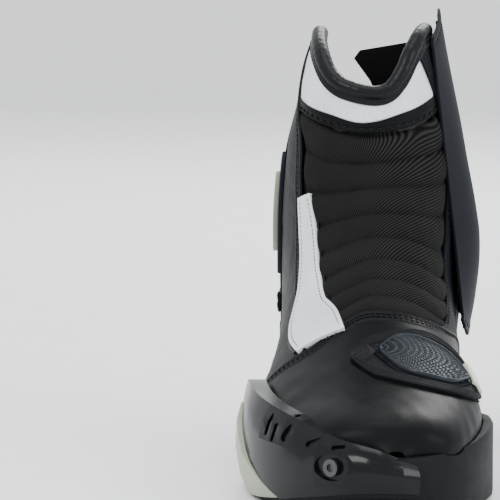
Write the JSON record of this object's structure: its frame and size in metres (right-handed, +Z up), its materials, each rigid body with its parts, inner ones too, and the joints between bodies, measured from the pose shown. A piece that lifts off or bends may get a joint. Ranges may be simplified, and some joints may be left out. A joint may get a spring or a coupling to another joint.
{
  "type": "motorcycle boot",
  "caption": "Short sport riding boot for the right foot, with a toe slider, zip, closure flap, stretch panels and vented heel shell.",
  "frame": {"origin": "on the ground, in the middle of the flat heel tread", "axes": "+Z up, toe towards -Y, inner side of the foot towards +X"},
  "size_m": [0.1206, 0.3107, 0.2199],
  "materials": {
    "leather": "smooth black synthetic leather, soft sheen",
    "grain_leather": "pebbled dark grey leather",
    "flap_leather": "matte blue-grey leather",
    "binding_leather": "padded semi-gloss black leather",
    "white_leather": "smooth white leather, satin",
    "stretch": "quilted black twill",
    "textile": "black woven textile",
    "foam": "dark open foam",
    "board": "fibre board",
    "steel": "brushed",
    "rubber": "matte blue-black rubber",
    "pale_plastic": "beige-grey, satin",
    "shell_plastic": "matte charcoal",
    "gloss_plastic": "polished black",
    "blue_plastic": "satin blue-grey",
    "hook": "fuzzy hook and loop tape",
    "coil": "black coil"
  },
  "bodies": {
    "boot": {"lining": "textile", "collar_binding": "binding_leather", "insole_board": "board", "footbed": "foam", "shank": "steel", "toe_puff": "shell_plastic", "instep_padding": "foam", "ankle_pad_inner": "foam", "ankle_pad_outer": "foam", "heel_stiffener": "shell_plastic", "collar_padding_front": "foam", "collar_padding_rear": "foam", "outsole": "rubber", "slider_screw": "steel", "threaded_insert": "steel", "toe_slider": "gloss_plastic", "sole_insert": "pale_plastic", "vamp": "leather", "front_stretch_panel": "stretch", "collar_strip": "leather", "front_collar_panel": "white_leather", "inner_front_panel": "flap_leather", "inner_rear_quarter": "flap_leather", "outer_front_quarter": "grain_leather", "outer_rear_quarter": "grain_leather", "rear_stretch_panel": "stretch", "heel_shell": "shell_plastic", "white_shin_trim": "white_leather", "side_badge": "blue_plastic", "badge_inlay": "white_leather", "shift_pad": "leather", "shift_pad_mesh": "blue_plastic", "shift_pad_bar": "pale_plastic", "heel_band": "leather", "loop_tape": "hook", "heel_plate_inner": "gloss_plastic", "heel_plate_centre": "shell_plastic", "heel_plate_outer": "gloss_plastic", "heel_vent": "blue_plastic", "zip_tape_front": "textile", "zip_tape_rear": "textile", "zip_teeth_front": "coil", "zip_teeth_rear": "coil", "zip_bottom_stop": "steel", "zip_top_stop": "steel", "zip_gusset": "textile", "size_label": "textile"},
    "flap": {"closure_flap": "flap_leather", "flap_hook_tape": "hook"},
    "slider": {"zip_slider": "steel"},
    "pull": {"zip_pull": "steel"}
  },
  "joints": [
    {"name": "flap_hinge", "type": "hinge", "parent": "boot", "child": "flap", "pos_m": [0.02854, -0.027, 0.205], "axis": [0.1143, -0.0141, -0.9934], "range_deg": [0, 100]},
    {"name": "zip_travel", "type": "slide", "parent": "boot", "child": "slider", "axis": [0.1864, 0, -0.9825], "range_m": [0, 0.072]},
    {"name": "pull_swing", "type": "hinge", "parent": "slider", "child": "pull", "pos_m": [0.03396, 0.005, 0.19727], "axis": [0.9825, 0, 0.1864], "range_deg": [-25, 20]}
  ]
}
